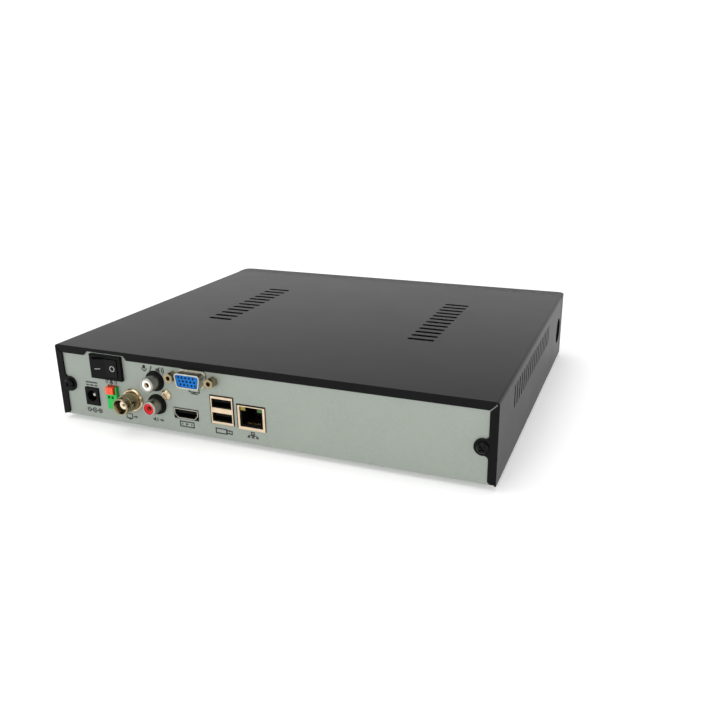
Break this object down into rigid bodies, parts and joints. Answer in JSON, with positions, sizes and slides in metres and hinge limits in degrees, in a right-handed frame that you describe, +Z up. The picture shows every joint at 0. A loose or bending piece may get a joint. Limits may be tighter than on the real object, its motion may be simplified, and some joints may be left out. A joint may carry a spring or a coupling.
{
  "type": "digital video recorder",
  "caption": "Low black desktop recorder with vented steel cover, galvanised rear panel of video, audio, network and power sockets, rocker switch and internal drive.",
  "frame": {"origin": "centre of the overall box on the plane the rubber feet stand on", "axes": "+Z up, front bezel faces -Y, rear panel faces +Y, +X is to the left when the rear panel is seen from behind"},
  "size_m": [0.255, 0.228, 0.0455],
  "materials": {
    "black_powder_coat": "fine satin powder coat, black",
    "black_screw": "blackened steel",
    "galvanised_sheet": "pale grey-green zinc coated sheet",
    "bezel_plastic": "fine textured black plastic",
    "window_plastic": "dark red translucent plastic",
    "receiver_epoxy": "black moulded epoxy",
    "led_lens": "clear milky lens",
    "board_green": "green solder mask",
    "foot_rubber": "matt rubber",
    "switch_black": "moulded black nylon",
    "rocker_black": "satin black plastic",
    "jack_black": "moulded black plastic",
    "pin_nickel": "bright plated pin",
    "terminal_green": "moulded green nylon",
    "lever_orange": "moulded orange nylon",
    "warm_nickel": "dull warm nickel plate",
    "insulator_white": "pale fluoropolymer",
    "contact_brass": "plated brass",
    "socket_nickel": "satin nickel plate",
    "insert_white": "white moulded plastic",
    "insert_red": "red moulded plastic",
    "screw_brass": "pale passivated steel",
    "tin_plate": "tin plated shell",
    "warm_tin_plate": "tin plated shell, warm",
    "insert_blue": "blue moulded plastic",
    "insert_black": "black moulded plastic",
    "lamp_yellow": "unlit yellow lamp",
    "lamp_green": "unlit green lamp",
    "standoff_brass": "brass pillar",
    "zinc_screw": "zinc plated steel",
    "chip_epoxy": "moulded epoxy",
    "heatsink_anodised": "dark blue anodised",
    "capacitor_sleeve": "dark sleeve",
    "battery_steel": "bright steel",
    "header_ivory": "ivory nylon",
    "cable_red": "red PVC",
    "cable_yellow": "yellow PVC",
    "cable_grey": "grey PVC",
    "drive_casting": "cast aluminium",
    "drive_lid_steel": "brushed steel lid",
    "disk_mirror": "polished disks",
    "arm_aluminium": "machined aluminium",
    "magnet_steel": "plated steel",
    "board_blue": "blue solder mask"
  },
  "bodies": {
    "case": {"chassis": "galvanised_sheet", "front_bezel": "bezel_plastic", "ir_window": "window_plastic", "ir_receiver": "receiver_epoxy", "status_leds": "led_lens", "front_board": "board_green", "rubber_feet": "foot_rubber", "switch_frame": "switch_black", "power_jack": "jack_black", "power_jack_pin": "pin_nickel", "terminal_block": "terminal_green", "bnc_shell": "warm_nickel", "bnc_nut": "screw_brass", "bnc_insulator": "insulator_white", "bnc_contact": "contact_brass", "rca_block": "jack_black", "rca_shells": "socket_nickel", "rca_insert_white": "insert_white", "rca_insert_red": "insert_red", "rca_contacts": "contact_brass", "rca_screw": "screw_brass", "vga_shell": "tin_plate", "vga_insert": "insert_blue", "vga_housing": "jack_black", "vga_jackscrews": "warm_nickel", "hdmi_shell": "tin_plate", "hdmi_tongue": "insert_black", "usb_shell": "warm_tin_plate", "usb_tongues": "insert_black", "lan_shell": "warm_tin_plate", "lan_insert": "insert_black", "lan_contacts": "contact_brass", "lan_led_yellow": "lamp_yellow", "lan_led_green": "lamp_green", "main_board": "board_green", "board_standoffs": "standoff_brass", "board_screws": "zinc_screw", "chips": "chip_epoxy", "heatsink": "heatsink_anodised", "inductors": "chip_epoxy", "capacitors": "capacitor_sleeve", "coin_battery": "battery_steel", "board_headers": "header_ivory", "cable_plugs": "jack_black", "data_cable": "cable_red", "drive_power_cable": "cable_yellow", "switch_leads": "cable_red", "front_board_cable": "cable_grey", "drive_base": "drive_casting", "drive_lid": "drive_lid_steel", "drive_magnet": "magnet_steel", "drive_board": "board_blue", "drive_screws": "zinc_screw"},
    "cover": {"top_cover": "black_powder_coat", "cover_screws": "black_screw"},
    "rocker": {"switch_rocker": "rocker_black"},
    "lever_left": {"terminal_lever_left": "lever_orange"},
    "lever_right": {"terminal_lever_right": "lever_orange"},
    "platters": {"drive_platters": "disk_mirror"},
    "head_arm": {"drive_arm": "arm_aluminium"}
  },
  "joints": [
    {"name": "switch_rock", "type": "hinge", "parent": "case", "child": "rocker", "pos_m": [0.0924, 0.1019, 0.0356], "axis": [0, 0, 1], "range_deg": [-24, 0]},
    {"name": "lever_left_press", "type": "slide", "parent": "case", "child": "lever_left", "axis": [0, -1, 0], "range_m": [0, 0.0015], "stiffness_N_per_m": 300, "springref_m": -0.001},
    {"name": "lever_right_press", "type": "slide", "parent": "case", "child": "lever_right", "axis": [0, -1, 0], "range_m": [0, 0.0015], "stiffness_N_per_m": 300, "springref_m": -0.001},
    {"name": "disk_spin", "type": "hinge", "parent": "case", "child": "platters", "pos_m": [-0.07, 0.0015, 0.018], "axis": [0, 0, 1], "continuous": true},
    {"name": "arm_swing", "type": "hinge", "parent": "case", "child": "head_arm", "pos_m": [-0.05, -0.0625, 0.018], "axis": [0, 0, 1], "range_deg": [-27, 0]},
    {"name": "cover_slide", "type": "slide", "parent": "case", "child": "cover", "axis": [0, 1, 0], "range_m": [0, 0.21]}
  ]
}
